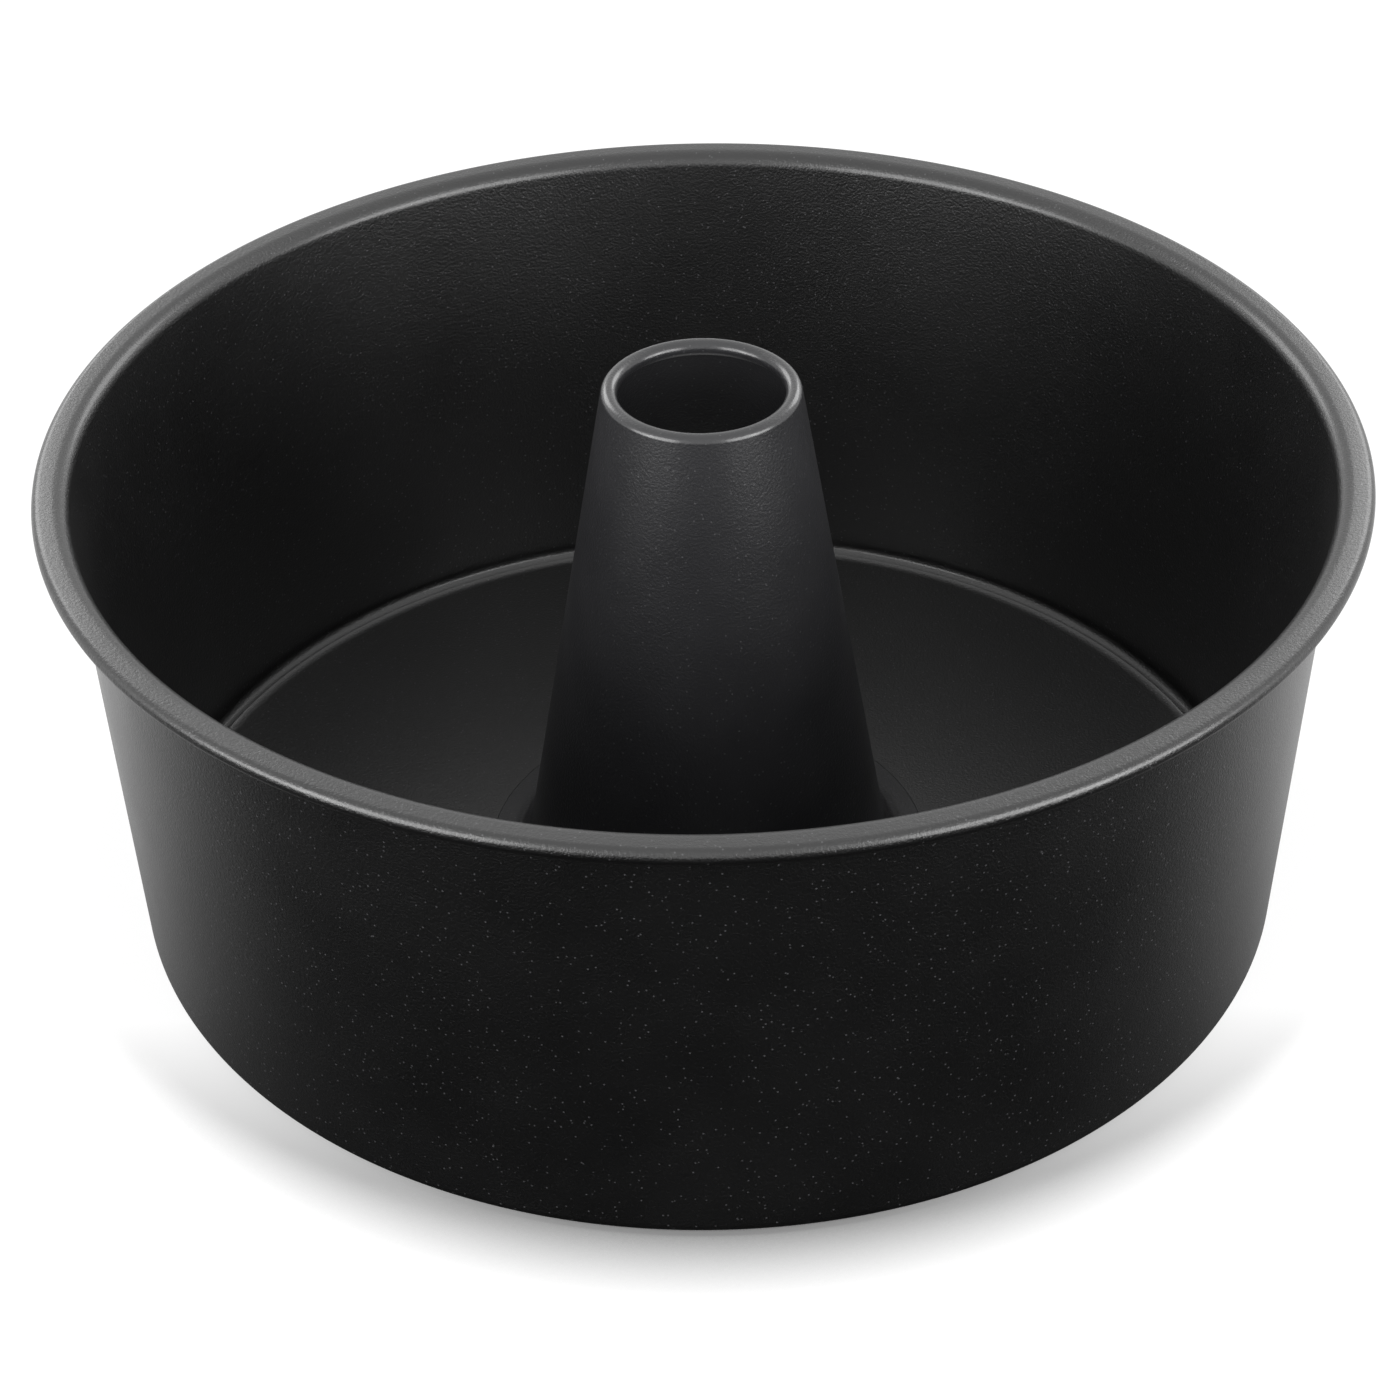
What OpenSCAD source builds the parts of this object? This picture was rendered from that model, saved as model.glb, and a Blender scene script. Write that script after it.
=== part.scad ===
// Angel food cake pan: a side ring with a wired rim, and a lift-out floor that carries the centre tube.
// Origin: middle of the foot, on the surface that the pan stands on, +Z up. Millimetres.

/* [Side ring] */
// Diameter across the rolled rim
rim_d = 267.2; // [220:0.1:330]
// Height of the rim above the table
pan_h = 102.5; // [60:0.5:160]
// Lean of the wall from upright, in degrees
wall_lean = 3.7; // [1:0.1:8]
// Thickness of the sheet steel
sheet_t = 0.7; // [0.5:0.05:0.9]
// Radius inside the bend between the ledge and the wall
corner_r = 2.5; // [1.5:0.1:6]
// Width of the flat ledge that carries the floor
ledge_w = 8.4; // [6:0.1:14]

/* [Rim] */
// Width of the flat between the wall's bend and the roll
rim_flat = 2.4; // [2:0.1:8]
// Radius inside the bend at the top of the wall
rim_bend_r = 2.6; // [0.8:0.1:3]
// Outside diameter of the roll
roll_d = 3.6; // [3.2:0.1:6]
// How far the roll turns round its wire, in degrees
roll_turn = 265; // [180:1:285]
// Clearance between the wire and the roll
wire_gap = 0.1; // [0.05:0.01:0.3]

/* [Floor] */
// Rise of the floor from its seat to the tube
crown = 0.8; // [0.4:0.1:3]
// Distance from the floor's outermost edge to the start of the ring's corner
edge_gap = 0.2; // [0.1:0.1:3]
// Radius inside the turned-up edge
edge_r = 3; // [1.5:0.1:6]
// How far the edge turns up, in degrees
edge_turn = 40; // [10:1:60]
// How far the level seat reaches in past the ledge
seat_over = 1; // [0.5:0.1:5]

/* [Centre tube] */
// Height of the tube above the table
tube_h = 116; // [70:0.5:180]
// Diameter of the hole through the lip
mouth_d = 33.6; // [20:0.1:50]
// Lean of the tube from upright, in degrees
tube_lean = 9.5; // [2:0.1:12]
// Outside diameter of the curled lip
lip_d = 3.4; // [2.4:0.1:5]
// How far the lip curls inward, in degrees
lip_turn = 235; // [150:1:280]
// Radius of the flare where the tube meets the floor
foot_r = 5; // [2:0.1:10]
// Width of the flat flange that lies in the floor's recess
flange_w = 3.5; // [2:0.1:8]
// Clearance between the flange's edge and its recess
seam_gap = 0.1; // [0.05:0.05:0.5]

/* [Hidden] */
coating = [0.17, 0.17, 0.18];
wire_steel = [0.55, 0.55, 0.57];
$fn = 120;
revolve_fn = 240;
// Degrees of bend between two points of a section
bend_step = 7.5;

// Side ring, worked out from the rim down to the ledge
wall_turn = 90 - wall_lean;
corner_mid_r = corner_r + sheet_t / 2;
rim_mid_r = rim_bend_r + sheet_t / 2;
roll_mid_r = (roll_d - sheet_t) / 2;
roll_pos_r = (rim_d - roll_d) / 2;
roll_pos_z = pan_h - roll_d / 2;
bends_rise = (corner_mid_r + rim_mid_r) * (1 - cos(wall_turn));
wall_len = (pan_h - sheet_t - bends_rise) / cos(wall_lean);
bends_reach = (corner_mid_r + rim_mid_r) * sin(wall_turn);
ledge_out_r = roll_pos_r - rim_flat - bends_reach - wall_len * sin(wall_lean);
ledge_in_r = ledge_out_r - ledge_w;

// Floor, which lies on the ledge inside the corner
edge_mid_r = edge_r + sheet_t / 2;
seat_out_r = ledge_out_r - edge_gap - (edge_r + sheet_t) * sin(edge_turn);
seat_in_r = ledge_in_r - seat_over;
seat_top = 2 * sheet_t;
floor_top = seat_top + crown;

// Tube, worked out from its lip down to its flange
tube_turn = 90 - tube_lean;
lip_mid_r = (lip_d - sheet_t) / 2;
lip_pos_r = (mouth_d + lip_d) / 2;
foot_mid_r = foot_r + sheet_t / 2;
cone_top_r = lip_pos_r + lip_mid_r * cos(tube_lean);
cone_top_z = tube_h - lip_d / 2 + lip_mid_r * sin(tube_lean);
cone_foot_z = floor_top - sheet_t / 2 + foot_mid_r * (1 - cos(tube_turn));
cone_len = (cone_top_z - cone_foot_z) / cos(tube_lean);
flange_in_r = cone_top_r + cone_len * sin(tube_lean) + foot_mid_r * sin(tube_turn);
flange_out_r = flange_in_r + flange_w;
recess_r = flange_out_r + seam_gap;

// A place along bent sheet is [radius, height, heading in degrees]. These move it along a straight
// run, and round a bend with its radius taken at the mid-line, where a turn to the left is positive.
function ahead(place, run) = place + [run * cos(place[2]), run * sin(place[2]), 0];
function round_bend(place, mid_r, turn) =
    let (from = place[2], to = from + turn, side = sign(turn) * mid_r)
    [place[0] + side * (sin(to) - sin(from)), place[1] + side * (cos(from) - cos(to)), to];

// Places along a path of moves, each [length] for a run or [mid-line radius, turn] for a bend
function places(place, moves, i = 0) =
    i == len(moves) ? [place]
    : len(moves[i]) == 1 ? concat([place], places(ahead(place, moves[i][0]), moves, i + 1))
    : let (mid_r = moves[i][0], turn = moves[i][1], steps = ceil(abs(turn) / bend_step))
      concat(
          [for (k = [0 : steps - 1]) round_bend(place, mid_r, turn * k / steps)],
          places(round_bend(place, mid_r, turn), moves, i + 1)
      );

// Point beside a place, half a sheet to its left (1) or right (-1)
function beside(place, side) =
    [place[0], place[1]] + side * sheet_t / 2 * [-sin(place[2]), cos(place[2])];

// Outline of sheet bent along a path of moves: out along its right side, back along its left
function sheet_outline(start, moves) =
    let (path = places(start, moves), last = len(path) - 1)
    concat(
        [for (k = [0 : last]) beside(path[k], -1)],
        [for (k = [last : -1 : 0]) beside(path[k], 1)]
    );

// Ledge, wall, flat rim and roll, bent from one sheet
module side_ring() {
    color(coating) rotate_extrude($fn = revolve_fn)
        polygon(sheet_outline([ledge_in_r, sheet_t / 2, 0], [
            [ledge_w],
            [corner_mid_r, wall_turn],
            [wall_len],
            [rim_mid_r, -wall_turn],
            [rim_flat],
            [roll_mid_r, -roll_turn]
        ]));
}

// Steel wire that the rim is rolled round
module rim_wire() {
    color(wire_steel) rotate_extrude($fn = revolve_fn)
        translate([roll_pos_r, roll_pos_z]) circle(r = roll_d / 2 - sheet_t - wire_gap);
}

// Lift-out floor: recess for the tube's flange, slight crown, level seat and turned-up edge
module base_plate() {
    riser_r = recess_r + sheet_t;
    slope = crown / (seat_in_r - recess_r);
    recess_under = [
        [flange_in_r, floor_top - 2 * sheet_t],
        [riser_r, floor_top - 2 * sheet_t],
        [riser_r, floor_top - sheet_t - slope * sheet_t]
    ];
    seat_and_edge = sheet_outline([seat_in_r, seat_top - sheet_t / 2, 0], [
        [seat_out_r - seat_in_r],
        [edge_mid_r, edge_turn]
    ]);
    recess_over = [
        [recess_r, floor_top],
        [recess_r, floor_top - sheet_t],
        [flange_in_r, floor_top - sheet_t]
    ];
    color(coating) rotate_extrude($fn = revolve_fn)
        polygon(concat(recess_under, seat_and_edge, recess_over));
}

// Centre tube: flange, flare, cone and curled lip, bent from one sheet
module center_tube() {
    color(coating) rotate_extrude($fn = revolve_fn)
        polygon(sheet_outline([flange_out_r, floor_top - sheet_t / 2, 180], [
            [flange_w],
            [foot_mid_r, -tube_turn],
            [cone_len],
            [lip_mid_r, lip_turn]
        ]));
}

side_ring();
rim_wire();
base_plate();
center_tube();
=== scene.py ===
import math

import bpy
from mathutils import Matrix, Vector


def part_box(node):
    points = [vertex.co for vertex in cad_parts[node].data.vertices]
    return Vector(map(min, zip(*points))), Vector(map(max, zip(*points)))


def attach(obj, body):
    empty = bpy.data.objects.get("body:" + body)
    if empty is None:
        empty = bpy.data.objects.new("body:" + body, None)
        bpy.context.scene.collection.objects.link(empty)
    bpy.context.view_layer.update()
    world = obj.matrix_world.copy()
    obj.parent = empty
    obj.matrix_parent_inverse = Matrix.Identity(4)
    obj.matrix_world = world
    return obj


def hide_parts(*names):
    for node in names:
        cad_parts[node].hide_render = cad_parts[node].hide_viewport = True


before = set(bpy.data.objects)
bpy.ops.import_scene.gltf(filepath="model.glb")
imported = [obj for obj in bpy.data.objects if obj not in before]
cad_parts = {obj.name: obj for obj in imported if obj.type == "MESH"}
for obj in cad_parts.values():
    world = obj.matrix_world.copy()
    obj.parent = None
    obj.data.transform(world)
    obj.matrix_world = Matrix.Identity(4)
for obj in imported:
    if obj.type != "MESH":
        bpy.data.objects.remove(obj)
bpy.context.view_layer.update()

MM = 0.001
RING_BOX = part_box("side_ring")
TUBE_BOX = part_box("center_tube")

# Side ring
RIM_D = RING_BOX[1][0] - RING_BOX[0][0]
PAN_H = RING_BOX[1][2]
WALL_LEAN = math.radians(3.7)
SHEET_T = 0.7 * MM
CORNER_R = 2.5 * MM
LEDGE_W = 8.4 * MM

# Rim
RIM_FLAT = 2.4 * MM
RIM_BEND_R = 2.6 * MM
ROLL_D = 3.6 * MM
ROLL_TURN = math.radians(265)

# Floor
CROWN = 0.8 * MM
EDGE_GAP = 0.2 * MM
EDGE_R = 3 * MM
EDGE_TURN = math.radians(40)
SEAT_OVER = 1 * MM

# Centre tube
TUBE_H = TUBE_BOX[1][2]
MOUTH_D = 33.6 * MM
TUBE_LEAN = math.radians(9.5)
LIP_D = 3.4 * MM
LIP_TURN = math.radians(235)
FOOT_R = 5 * MM
FLANGE_W = 3.5 * MM
SEAM_GAP = 0.1 * MM

# Studio: what the lamps aim at, how far the painted shadow at the pan's foot reaches and where along Y it
# fades away, and where along Y the floor goes from dark to white in the pan's reflections, a painted dark
# reflection in front
PAN_MIDDLE = Vector((0, 0, 50 * MM))
PAINTED_SHADOW_REACH = 24 * MM
PAINTED_SHADOW_FRONT_Y = -120 * MM
PAINTED_SHADOW_SIDE_Y = -55 * MM
MIRRORED_FRONT_Y = -110 * MM
MIRRORED_BACK_Y = 110 * MM
ROOM_LEVEL = 0.5
WHITE_LEVEL = 1.0

# Fineness of the lathed meshes
BEND_STEP = math.radians(4)
RUN_STEP = 12 * MM
ROUND_STEPS = 360
SHARP_EDGE = math.radians(50)


def ahead(place, run):
    """The place after a straight run. A place is (radius, height, heading)."""
    r, z, heading = place
    return (r + run * math.cos(heading), z + run * math.sin(heading), heading)


def round_bend(place, mid_r, turn):
    """The place after a bend. The radius is at the sheet's mid-line, and a turn to the left is positive."""
    r, z, heading = place
    side = math.copysign(mid_r, turn)
    to = heading + turn
    return (r + side * (math.sin(to) - math.sin(heading)), z + side * (math.cos(heading) - math.cos(to)), to)


def sheet_places(place, moves):
    """Places along bent sheet. A move is (length,) for a run or (mid-line radius, turn) for a bend."""
    found = [place]
    for move in moves:
        if len(move) == 1:
            steps = max(1, math.ceil(move[0] / RUN_STEP))
            found += [ahead(place, move[0] * k / steps) for k in range(1, steps + 1)]
        else:
            steps = math.ceil(abs(move[1]) / BEND_STEP)
            found += [round_bend(place, move[0], move[1] * k / steps) for k in range(1, steps + 1)]
        place = found[-1]
    return found


def beside(place, side):
    """The point half a sheet to the left (1) or right (-1) of a place."""
    r, z, heading = place
    return (r - side * SHEET_T / 2 * math.sin(heading), z + side * SHEET_T / 2 * math.cos(heading))


def sheet_outline(start, moves):
    """The closed outline of bent sheet, out along its right side and back along its left."""
    path = sheet_places(start, moves)
    return [beside(p, -1) for p in path] + [beside(p, 1) for p in reversed(path)]


def lathe(name, outline, body, node):
    """Turns a closed outline of (radius, height) points round Z, in place of a CAD node."""
    rows = len(outline)
    verts = []
    for k in range(ROUND_STEPS):
        a = 2 * math.pi * k / ROUND_STEPS
        verts += [(r * math.cos(a), r * math.sin(a), z) for r, z in outline]
    faces = []
    for k in range(ROUND_STEPS):
        here = k * rows
        there = (k + 1) % ROUND_STEPS * rows
        for i in range(rows):
            j = (i + 1) % rows
            faces.append((here + i, there + i, there + j, here + j))
    mesh = bpy.data.meshes.new(name)
    mesh.from_pydata(verts, [], faces)
    mesh.polygons.foreach_set("use_smooth", [True] * len(faces))
    mesh.set_sharp_from_angle(angle=SHARP_EDGE)
    obj = bpy.data.objects.new(name, mesh)
    bpy.context.scene.collection.objects.link(obj)
    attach(obj, body)
    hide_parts(node)
    return obj


def ring_outline():
    """Ledge, corner, wall, rim bend, flat rim and roll."""
    wall_turn = math.pi / 2 - WALL_LEAN
    corner_mid_r = CORNER_R + SHEET_T / 2
    rim_mid_r = RIM_BEND_R + SHEET_T / 2
    roll_mid_r = (ROLL_D - SHEET_T) / 2
    bends_rise = (corner_mid_r + rim_mid_r) * (1 - math.cos(wall_turn))
    wall_len = (PAN_H - SHEET_T - bends_rise) / math.cos(WALL_LEAN)
    bends_reach = (corner_mid_r + rim_mid_r) * math.sin(wall_turn)
    ledge_out_r = (RIM_D - ROLL_D) / 2 - RIM_FLAT - bends_reach - wall_len * math.sin(WALL_LEAN)
    outline = sheet_outline((ledge_out_r - LEDGE_W, SHEET_T / 2, 0), [
        (LEDGE_W,),
        (corner_mid_r, wall_turn),
        (wall_len,),
        (rim_mid_r, -wall_turn),
        (RIM_FLAT,),
        (roll_mid_r, -ROLL_TURN),
    ])
    return outline, ledge_out_r


def tube_outline(floor_top):
    """Flange, flare, cone and curled lip."""
    tube_turn = math.pi / 2 - TUBE_LEAN
    lip_mid_r = (LIP_D - SHEET_T) / 2
    foot_mid_r = FOOT_R + SHEET_T / 2
    cone_top_r = (MOUTH_D + LIP_D) / 2 + lip_mid_r * math.cos(TUBE_LEAN)
    cone_top_z = TUBE_H - LIP_D / 2 + lip_mid_r * math.sin(TUBE_LEAN)
    cone_foot_z = floor_top - SHEET_T / 2 + foot_mid_r * (1 - math.cos(tube_turn))
    cone_len = (cone_top_z - cone_foot_z) / math.cos(TUBE_LEAN)
    flange_in_r = cone_top_r + cone_len * math.sin(TUBE_LEAN) + foot_mid_r * math.sin(tube_turn)
    outline = sheet_outline((flange_in_r + FLANGE_W, floor_top - SHEET_T / 2, math.pi), [
        (FLANGE_W,),
        (foot_mid_r, -tube_turn),
        (cone_len,),
        (lip_mid_r, LIP_TURN),
    ])
    return outline, flange_in_r


def floor_outline(ledge_out_r, flange_in_r, floor_top):
    """Recess for the tube's flange, slight crown, level seat and turned-up edge."""
    recess_r = flange_in_r + FLANGE_W + SEAM_GAP
    riser_r = recess_r + SHEET_T
    seat_in_r = ledge_out_r - LEDGE_W - SEAT_OVER
    seat_out_r = ledge_out_r - EDGE_GAP - (EDGE_R + SHEET_T) * math.sin(EDGE_TURN)
    slope = CROWN / (seat_in_r - recess_r)
    recess_under = [
        (flange_in_r, floor_top - 2 * SHEET_T),
        (riser_r, floor_top - 2 * SHEET_T),
        (riser_r, floor_top - SHEET_T - slope * SHEET_T),
    ]
    seat_and_edge = sheet_outline((seat_in_r, 1.5 * SHEET_T, 0), [
        (seat_out_r - seat_in_r,),
        (EDGE_R + SHEET_T / 2, EDGE_TURN),
    ])
    recess_over = [
        (recess_r, floor_top),
        (recess_r, floor_top - SHEET_T),
        (flange_in_r, floor_top - SHEET_T),
    ]
    return recess_under + seat_and_edge + recess_over


def new_material(name):
    """A node material with nothing but its output, and that output."""
    mat = bpy.data.materials.new(name)
    mat.use_nodes = True
    mat.node_tree.nodes.clear()
    out = mat.node_tree.nodes.new("ShaderNodeOutputMaterial")
    return mat, out


def add_node(mat, kind, values=(), **settings):
    """Adds a node, with its settings and its inputs' values by name."""
    node = mat.node_tree.nodes.new(kind)
    for key, value in settings.items():
        setattr(node, key, value)
    for key, value in dict(values).items():
        node.inputs[key].default_value = value
    return node


def coating_material(name, tone, ior, coat):
    """Dark nonstick coating: satin, with a fine sprayed grain, tiny bright flecks and faint cloudiness.
    The tone is the base colour's middle value, the index sets how much the satin layer reflects, and
    the coat is the share of a glossier layer over it."""
    mat, out = new_material(name)
    link = mat.node_tree.links.new
    place = add_node(mat, "ShaderNodeTexCoord")
    shader = add_node(mat, "ShaderNodeBsdfPrincipled", {
        "IOR": ior, "Coat Weight": coat, "Coat IOR": 1.75, "Coat Roughness": 0.2})

    cloud = add_node(mat, "ShaderNodeTexNoise", {"Scale": 28.0, "Detail": 3.0, "Roughness": 0.6})
    tint = add_node(mat, "ShaderNodeValToRGB")
    tint.color_ramp.elements[0].position = 0.35
    tint.color_ramp.elements[0].color = (0.85 * tone, 0.85 * tone, 0.93 * tone, 1)
    tint.color_ramp.elements[1].position = 0.65
    tint.color_ramp.elements[1].color = (1.15 * tone, 1.15 * tone, 1.24 * tone, 1)
    fleck = add_node(mat, "ShaderNodeTexVoronoi", {"Scale": 650.0})
    fleck_size = add_node(mat, "ShaderNodeMapRange", {
        "From Min": 0.06, "From Max": 0.16, "To Min": 1.0, "To Max": 0.0})
    flecked = add_node(mat, "ShaderNodeMix", data_type="RGBA")
    flecked.inputs["B"].default_value = (0.07, 0.07, 0.073, 1)

    satin = add_node(mat, "ShaderNodeMapRange", {
        "From Min": 0.3, "From Max": 0.7, "To Min": 0.38, "To Max": 0.44})
    grain = add_node(mat, "ShaderNodeTexNoise", {"Scale": 1800.0, "Detail": 2.0, "Roughness": 0.6})
    bump = add_node(mat, "ShaderNodeBump", {"Strength": 0.5, "Distance": 0.3 * MM})

    for texture in (cloud, fleck, grain):
        link(place.outputs["Object"], texture.inputs["Vector"])
    link(cloud.outputs["Fac"], tint.inputs["Fac"])
    link(cloud.outputs["Fac"], satin.inputs["Value"])
    link(satin.outputs["Result"], shader.inputs["Roughness"])
    link(fleck.outputs["Distance"], fleck_size.inputs["Value"])
    link(fleck_size.outputs["Result"], flecked.inputs["Factor"])
    link(tint.outputs["Color"], flecked.inputs["A"])
    link(flecked.outputs["Result"], shader.inputs["Base Color"])
    link(grain.outputs["Fac"], bump.inputs["Height"])
    link(bump.outputs["Normal"], shader.inputs["Normal"])
    link(shader.outputs["BSDF"], out.inputs["Surface"])
    return mat


def wire_material():
    """Drawn steel wire: fine scratches along the draw, slightly uneven gloss."""
    mat, out = new_material("drawn_wire")
    link = mat.node_tree.links.new
    place = add_node(mat, "ShaderNodeTexCoord")
    shader = add_node(mat, "ShaderNodeBsdfPrincipled", {"Metallic": 1.0})
    streak = add_node(mat, "ShaderNodeTexNoise", {"Scale": 1400.0, "Detail": 2.0, "Roughness": 0.5})
    tone = add_node(mat, "ShaderNodeValToRGB")
    tone.color_ramp.elements[0].color = (0.34, 0.34, 0.35, 1)
    tone.color_ramp.elements[1].color = (0.55, 0.55, 0.56, 1)
    gloss = add_node(mat, "ShaderNodeMapRange", {"To Min": 0.3, "To Max": 0.5})
    link(place.outputs["Object"], streak.inputs["Vector"])
    link(streak.outputs["Fac"], tone.inputs["Fac"])
    link(streak.outputs["Fac"], gloss.inputs["Value"])
    link(tone.outputs["Color"], shader.inputs["Base Color"])
    link(gloss.outputs["Result"], shader.inputs["Roughness"])
    link(shader.outputs["BSDF"], out.inputs["Surface"])
    return mat


def floor_material():
    """Pale studio floor. The camera sees white with a painted shadow in front of the pan: a white glow
    dimmed by ambient occlusion close to its foot, which fades away at the sides, over a faint diffuse share
    that takes real shade. Reflections see the same beside and behind the pan. In front of it they see a dark
    floor, a painted dark reflection, as in the photographed wall. Light bounces off a floor that is dark in
    front and grey behind, painted shade on the pan's front."""
    mat, out = new_material("studio_floor")
    link = mat.node_tree.links.new
    ray = add_node(mat, "ShaderNodeLightPath")
    place = add_node(mat, "ShaderNodeTexCoord")
    axes = add_node(mat, "ShaderNodeSeparateXYZ")
    # Painted dark reflection and painted shade: to reflections and bounced light the floor is almost black
    # in front of the pan and grey behind it
    painted_shade_floor_tone = add_node(mat, "ShaderNodeMapRange", {
        "From Min": -0.12, "From Max": 0.12, "To Min": 0.01, "To Max": 0.5}, interpolation_type="SMOOTHSTEP")
    beside = add_node(mat, "ShaderNodeMapRange", {
        "From Min": MIRRORED_FRONT_Y, "From Max": MIRRORED_BACK_Y}, interpolation_type="SMOOTHSTEP")
    mirrored = add_node(mat, "ShaderNodeMath", operation="MULTIPLY")
    looked = add_node(mat, "ShaderNodeMath", operation="MAXIMUM")
    shown = add_node(mat, "ShaderNodeMath", operation="MAXIMUM")
    tone = add_node(mat, "ShaderNodeMix", {"B": 0.2})
    diffuse = add_node(mat, "ShaderNodeBsdfDiffuse")

    # Painted shadow: the floor's white glow is dimmed by ambient occlusion close to the pan's foot and kept
    # to the front; only the faint diffuse share takes real shade
    painted_shadow_occlusion = add_node(mat, "ShaderNodeAmbientOcclusion", {"Distance": PAINTED_SHADOW_REACH}, samples=16)
    shadow = add_node(mat, "ShaderNodeMapRange", {
        "From Min": 0.45, "From Max": 0.92, "To Min": 0.1, "To Max": 0.9})
    painted_shadow_fade = add_node(mat, "ShaderNodeMapRange", {
        "From Min": PAINTED_SHADOW_FRONT_Y, "From Max": PAINTED_SHADOW_SIDE_Y, "To Min": 0.1, "To Max": 0.84})
    lighter = add_node(mat, "ShaderNodeMath", operation="MAXIMUM")
    level = add_node(mat, "ShaderNodeMath", operation="MULTIPLY")
    glow = add_node(mat, "ShaderNodeEmission")
    both = add_node(mat, "ShaderNodeAddShader")

    link(place.outputs["Object"], axes.inputs["Vector"])
    link(axes.outputs["Y"], painted_shade_floor_tone.inputs["Value"])
    link(painted_shade_floor_tone.outputs["Result"], tone.inputs["A"])
    link(axes.outputs["Y"], beside.inputs["Value"])
    link(ray.outputs["Is Glossy Ray"], mirrored.inputs[0])
    link(beside.outputs["Result"], mirrored.inputs[1])
    link(ray.outputs["Is Camera Ray"], looked.inputs[0])
    link(ray.outputs["Is Transmission Ray"], looked.inputs[1])
    link(looked.outputs["Value"], shown.inputs[0])
    link(mirrored.outputs["Value"], shown.inputs[1])
    link(shown.outputs["Value"], tone.inputs["Factor"])
    link(tone.outputs["Result"], diffuse.inputs["Color"])
    link(painted_shadow_occlusion.outputs["AO"], shadow.inputs["Value"])
    link(axes.outputs["Y"], painted_shadow_fade.inputs["Value"])
    link(shadow.outputs["Result"], lighter.inputs[0])
    link(painted_shadow_fade.outputs["Result"], lighter.inputs[1])
    link(lighter.outputs["Value"], level.inputs[0])
    link(shown.outputs["Value"], level.inputs[1])
    link(level.outputs["Value"], glow.inputs["Strength"])
    link(diffuse.outputs["BSDF"], both.inputs[0])
    link(glow.outputs["Emission"], both.inputs[1])
    link(both.outputs["Shader"], out.inputs["Surface"])
    return mat


def build_pan():
    """The three visible sheet pieces in place of their CAD nodes, and the wire's finish."""
    coating = coating_material("nonstick_coating", tone=0.0012, ior=1.62, coat=0.3)
    # Painted light: the tube gets a lighter copy of the same nonstick coating, with other gloss settings, in
    # place of the light its lower part shows
    tube_coating_painted_light = coating_material("tube_coating_painted_light", tone=0.022, ior=1.35, coat=0.6)
    floor_top = 2 * SHEET_T + CROWN
    ring_points, ledge_out_r = ring_outline()
    tube_points, flange_in_r = tube_outline(floor_top)
    floor_points = floor_outline(ledge_out_r, flange_in_r, floor_top)
    for name, points, body, node, finish in (
        ("side_ring_sheet", ring_points, "ring", "side_ring", coating),
        ("base_plate_sheet", floor_points, "insert", "base_plate", coating),
        ("center_tube_sheet", tube_points, "insert", "center_tube", tube_coating_painted_light),
    ):
        lathe(name, points, body, node).data.materials.append(finish)
    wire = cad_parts["rim_wire"]
    wire.data.materials.clear()
    wire.data.materials.append(wire_material())


def build_floor():
    """A wide floor just under the pan."""
    half = 6.0
    z = -0.05 * MM
    mesh = bpy.data.meshes.new("studio_floor")
    corners = [(-half, -half, z), (half, -half, z), (half, half, z), (-half, half, z)]
    mesh.from_pydata(corners, [], [(0, 1, 2, 3)])
    obj = bpy.data.objects.new("studio_floor", mesh)
    bpy.context.scene.collection.objects.link(obj)
    obj.data.materials.append(floor_material())


def softbox(name, place, width, height, level):
    """A pair of rectangular lamps, left and right of the pan and turned to it. The level is how bright
    their faces look, where 1 is white."""
    for side in (-1, 1):
        data = bpy.data.lights.new(name, "AREA")
        data.shape = "RECTANGLE"
        data.size = width
        data.size_y = height
        data.energy = level * math.pi * width * height
        obj = bpy.data.objects.new(name, data)
        obj.location = (side * place[0], place[1], place[2])
        obj.rotation_euler = (PAN_MIDDLE - obj.location).to_track_quat("-Z", "Y").to_euler()
        bpy.context.scene.collection.objects.link(obj)


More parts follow.
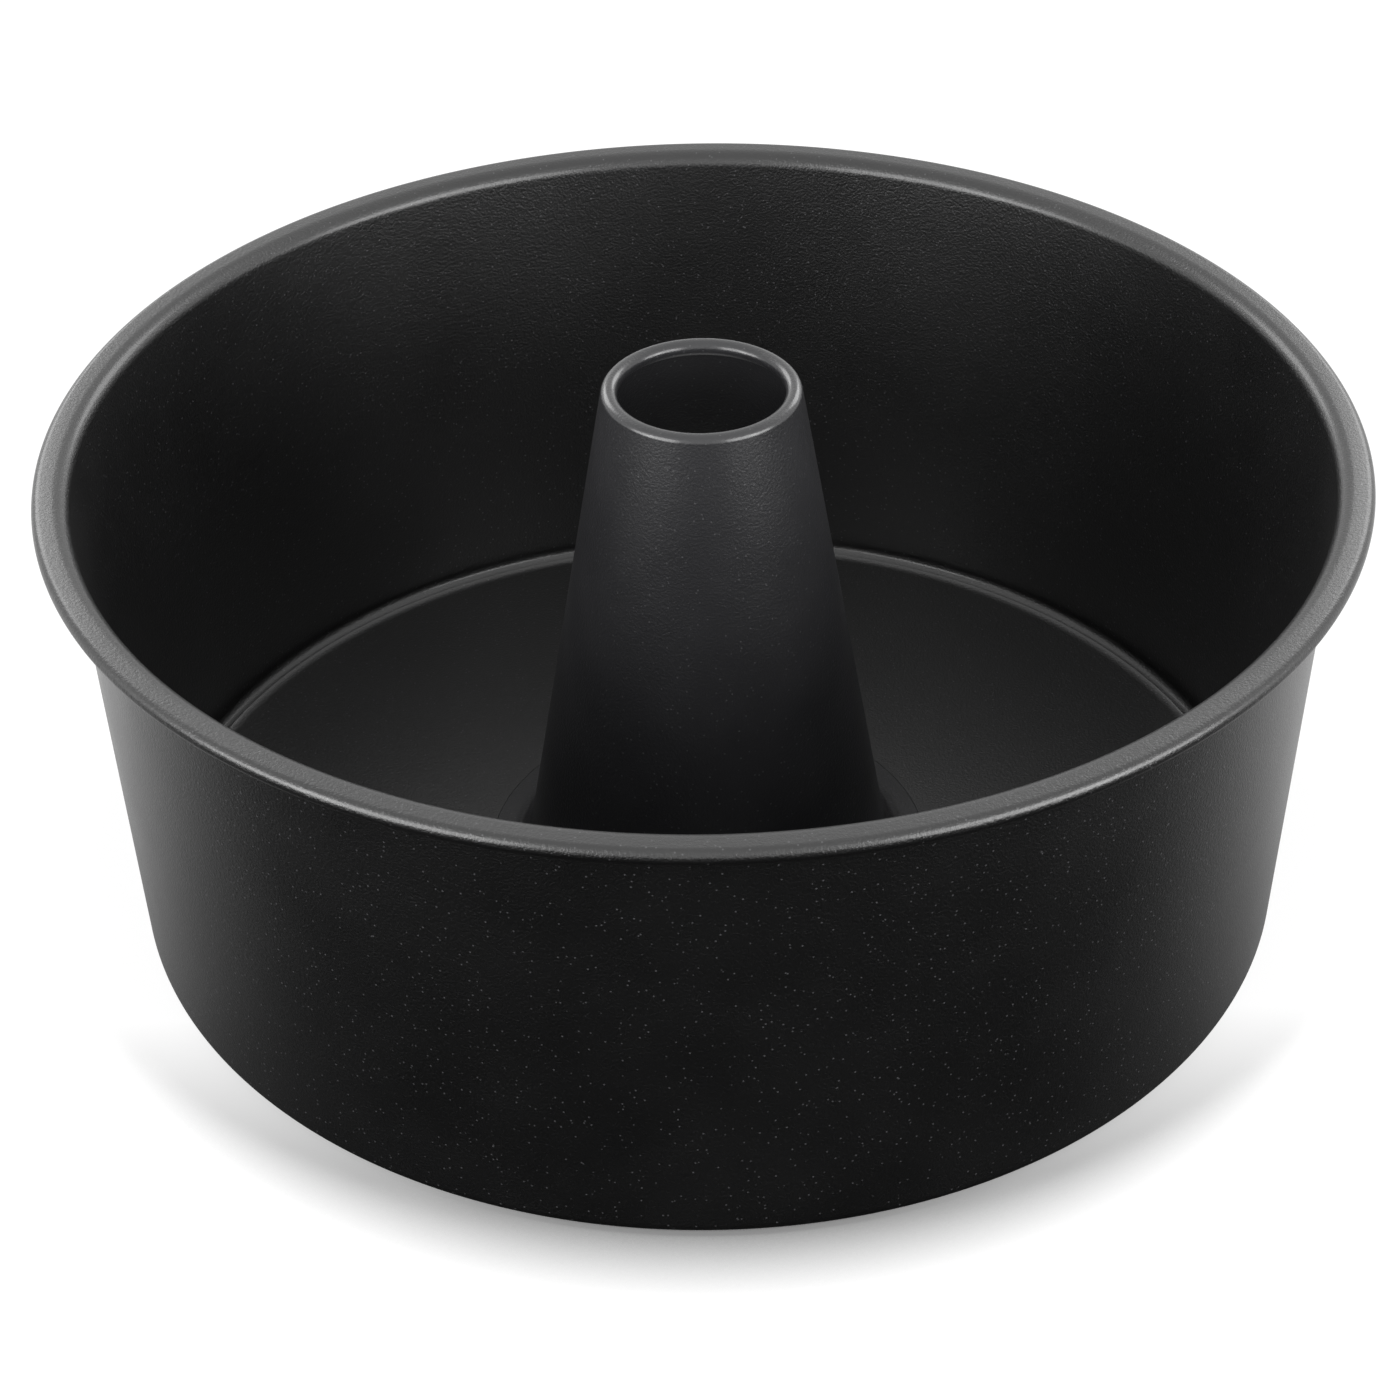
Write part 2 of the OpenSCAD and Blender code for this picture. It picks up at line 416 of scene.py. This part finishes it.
def build_light():
    """Softboxes left and right, mostly from the front, and a dim room that looks white by itself and in
    reflections."""
    softbox("front_softbox", (0.46, -0.48, 0.28), 0.40, 0.42, 4.8)
    softbox("side_softbox", (0.68, -0.30, 0.25), 0.30, 0.30, 5.2)
    softbox("back_softbox", (0.42, 0.55, 0.42), 0.35, 0.30, 3.8)
    world = bpy.data.worlds.new("room")
    bpy.context.scene.world = world
    world.use_nodes = True
    nodes = world.node_tree.nodes
    nodes.clear()
    link = world.node_tree.links.new
    ray = nodes.new("ShaderNodeLightPath")
    mirrored = nodes.new("ShaderNodeMath")
    mirrored.operation = "MAXIMUM"
    shown = nodes.new("ShaderNodeMath")
    shown.operation = "MAXIMUM"
    strength = nodes.new("ShaderNodeMapRange")
    strength.inputs["To Min"].default_value = ROOM_LEVEL
    strength.inputs["To Max"].default_value = WHITE_LEVEL
    room = nodes.new("ShaderNodeBackground")
    out = nodes.new("ShaderNodeOutputWorld")
    link(ray.outputs["Is Glossy Ray"], mirrored.inputs[0])
    link(ray.outputs["Is Transmission Ray"], mirrored.inputs[1])
    link(ray.outputs["Is Camera Ray"], shown.inputs[0])
    link(mirrored.outputs["Value"], shown.inputs[1])
    link(shown.outputs["Value"], strength.inputs["Value"])
    link(strength.outputs["Result"], room.inputs["Strength"])
    link(room.outputs["Background"], out.inputs["Surface"])
    room.inputs["Color"].default_value = (1, 1, 1, 1)


def build_camera():
    """The camera at the photograph's height, distance and framing."""
    frame_px = 1400
    focal_px = 3647.8
    place = Vector((-0.06, -625.71, 485.54)) * MM
    yaw = -0.00195
    pitch = 0.61937
    roll = -0.01597
    forward = Vector((math.sin(yaw) * math.cos(pitch), math.cos(yaw) * math.cos(pitch), -math.sin(pitch)))
    level = forward.cross(Vector((0, 0, 1))).normalized()
    upward = level.cross(forward)
    right = level * math.cos(roll) + upward * math.sin(roll)
    up = upward * math.cos(roll) - level * math.sin(roll)
    data = bpy.data.cameras.new("camera")
    data.sensor_width = 36
    data.lens = focal_px / frame_px * data.sensor_width
    data.clip_start = 0.01
    camera = bpy.data.objects.new("camera", data)
    turn = Matrix((right, up, -forward)).transposed().to_4x4()
    camera.matrix_world = Matrix.Translation(place) @ turn
    bpy.context.scene.collection.objects.link(camera)
    bpy.context.scene.camera = camera


build_pan()
build_floor()
build_light()
build_camera()
bpy.context.scene.view_settings.view_transform = "Standard"
